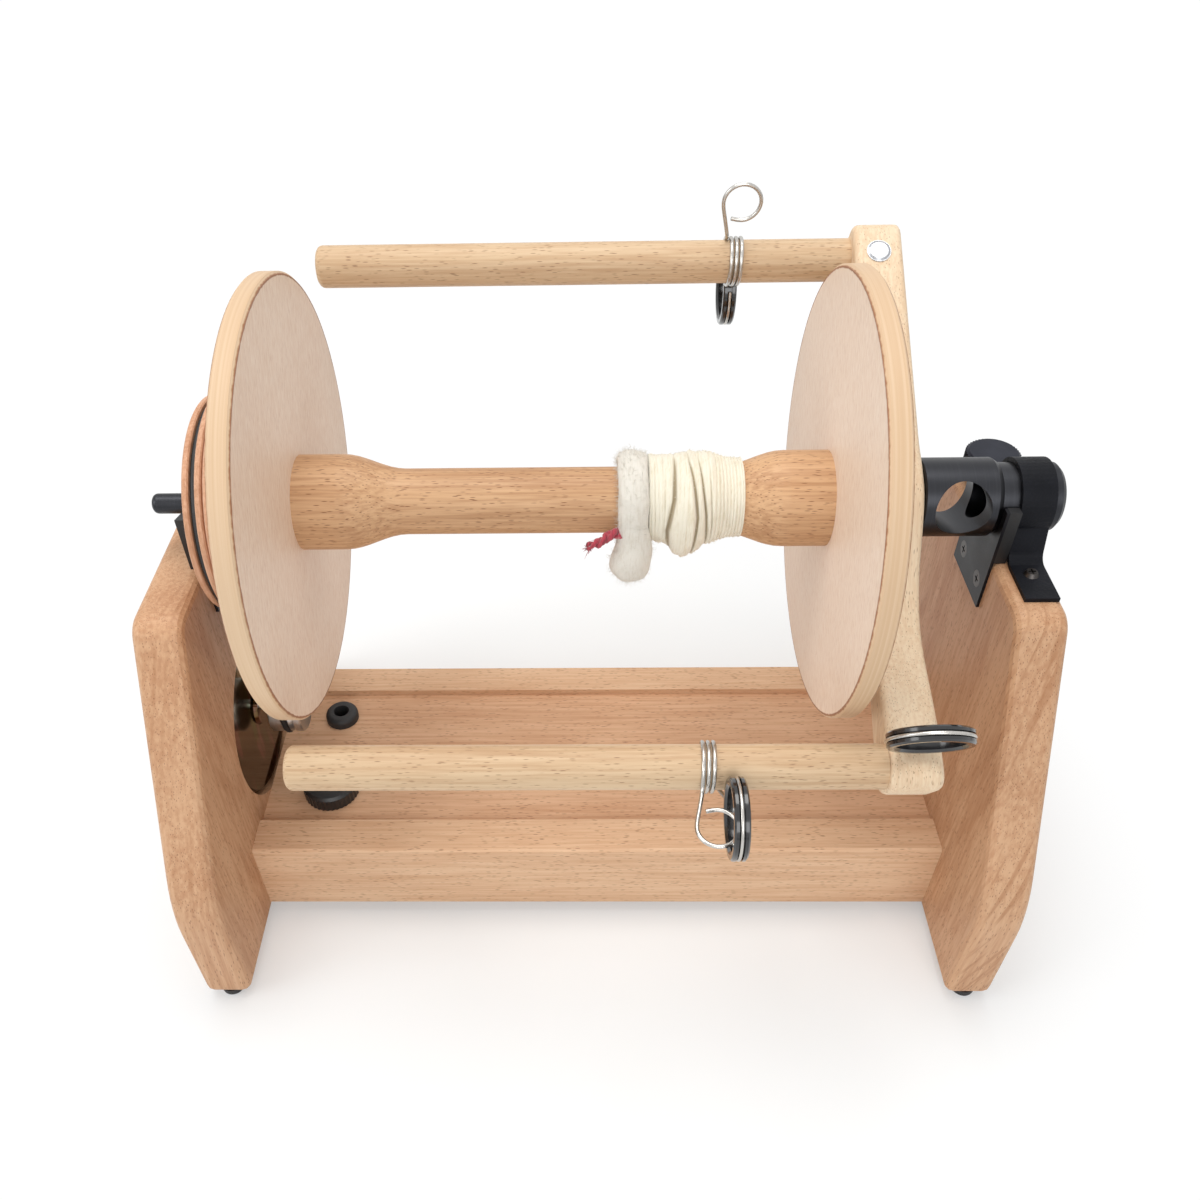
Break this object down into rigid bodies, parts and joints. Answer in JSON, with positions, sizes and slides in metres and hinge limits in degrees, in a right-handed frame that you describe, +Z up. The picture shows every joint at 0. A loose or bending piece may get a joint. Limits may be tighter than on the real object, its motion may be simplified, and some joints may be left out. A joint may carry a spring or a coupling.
{
  "type": "electric spinning wheel",
  "caption": "Tabletop electric spinning wheel: wooden end panels carry a belt-driven bobbin with a stepped whorl and a strap-braked flyer with sliding yarn guides.",
  "frame": {"origin": "on the resting surface, below the middle of the overall box", "axes": "+X along the spinning axis towards the orifice, +Y to the back, +Z up"},
  "size_m": [0.4433, 0.3081, 0.3603],
  "materials": {
    "panel_beech": "oiled beech",
    "rail_beech": "oiled beech",
    "floor_beech": "oiled beech",
    "flyer_beech": "oiled beech",
    "arm_beech": "oiled beech",
    "core_beech": "turned and oiled beech",
    "flange_board": "fine sanded board",
    "whorl_beech": "turned beech",
    "rubber": "soft black",
    "screw_steel": "zinc plated",
    "bracket_steel": "blackened",
    "bearing_nylon": "black nylon",
    "strap_leather": "black, fine grained",
    "knob_steel": "blackened, knurled",
    "motor_gold": "mirror bright",
    "pulley_aluminium": "turned",
    "belt_rubber": "smooth round belt",
    "control_plastic": "black",
    "circuit_board": "green",
    "plug_steel": "polished",
    "tube_steel": "gunmetal, satin",
    "guide_black": "glossy black",
    "spring_wire": "bright spring wire",
    "cream_wool": "spun wool",
    "combed_wool": "unspun combed wool",
    "red_wool": "dyed wool"
  },
  "bodies": {
    "frame": {"brake_washer": "knob_steel", "left_end_panel": "panel_beech", "right_end_panel": "panel_beech", "front_rail": "rail_beech", "back_rail": "rail_beech", "front_rail_strip": "rail_beech", "back_rail_strip": "rail_beech", "floor_board": "floor_beech", "bottom_cover": "floor_beech", "cover_screws": "screw_steel", "rubber_feet": "rubber", "frame_dowels": "rail_beech", "left_bearing_plate": "bracket_steel", "left_bearing_block": "bearing_nylon", "left_plate_screws": "screw_steel", "right_bearing_plate": "bracket_steel", "right_bearing_block": "bearing_nylon", "right_plate_screws": "screw_steel", "brake_strap": "strap_leather", "strap_screw": "screw_steel", "brake_stud": "knob_steel", "motor_housing": "motor_gold", "motor_screws": "screw_steel", "drive_belt": "belt_rubber", "cable_grommet": "rubber", "speed_control": "control_plastic", "control_board": "circuit_board", "board_pillars": "screw_steel", "power_inlet": "control_plastic"},
    "flyer": {"flyer_yoke": "flyer_beech", "front_flyer_arm": "arm_beech", "back_flyer_arm": "arm_beech", "balance_plug": "plug_steel", "orifice_tube": "tube_steel", "axle_rod": "tube_steel", "yoke_guide_ring": "guide_black", "yoke_guide_wire": "spring_wire"},
    "bobbin": {"bobbin_core": "core_beech", "left_bobbin_flange": "flange_board", "right_bobbin_flange": "flange_board", "bobbin_whorl": "whorl_beech", "left_bobbin_bush": "bearing_nylon", "right_bobbin_bush": "bearing_nylon", "yarn_core": "cream_wool", "yarn_winding": "cream_wool", "roving_tail": "combed_wool", "red_yarn_tail": "red_wool"},
    "motor_rotor": {"motor_pulley": "pulley_aluminium", "motor_shaft": "pulley_aluminium"},
    "front_guide": {"front_clip_spring": "spring_wire", "front_guide_ring": "guide_black"},
    "back_guide": {"back_clip_spring": "spring_wire", "back_guide_ring": "guide_black"},
    "brake_screw": {"brake_knob": "knob_steel"},
    "speed_dial": {"speed_knob": "control_plastic"}
  },
  "joints": [
    {"name": "flyer_spin", "type": "hinge", "parent": "frame", "child": "flyer", "pos_m": [-0.0025, 0.00459, 0.248], "axis": [1, 0, 0], "continuous": true},
    {"name": "bobbin_spin", "type": "hinge", "parent": "frame", "child": "bobbin", "pos_m": [-0.0025, 0.00459, 0.248], "axis": [1, 0, 0], "continuous": true},
    {"name": "motor_spin", "type": "hinge", "parent": "frame", "child": "motor_rotor", "pos_m": [-0.1812, 0.00459, 0.104], "axis": [1, 0, 0], "continuous": true},
    {"name": "front_guide_slide", "type": "slide", "parent": "flyer", "child": "front_guide", "axis": [1, 0, 0], "range_m": [-0.18, 0.058]},
    {"name": "back_guide_slide", "type": "slide", "parent": "flyer", "child": "back_guide", "axis": [1, 0, 0], "range_m": [-0.2, 0.046]},
    {"name": "brake_screw_turn", "type": "hinge", "parent": "frame", "child": "brake_screw", "pos_m": [0.20575, 0.05059, 0.238], "axis": [0, 0, 1], "range_deg": [0, 540]},
    {"name": "speed_turn", "type": "hinge", "parent": "frame", "child": "speed_dial", "pos_m": [-0.15935, -0.02201, 0.0573], "axis": [0, 0, -1], "range_deg": [0, 300]}
  ],
  "couplings": [
    {"joint": "motor_spin", "follows": "bobbin_spin", "ratio": 3.2763}
  ]
}
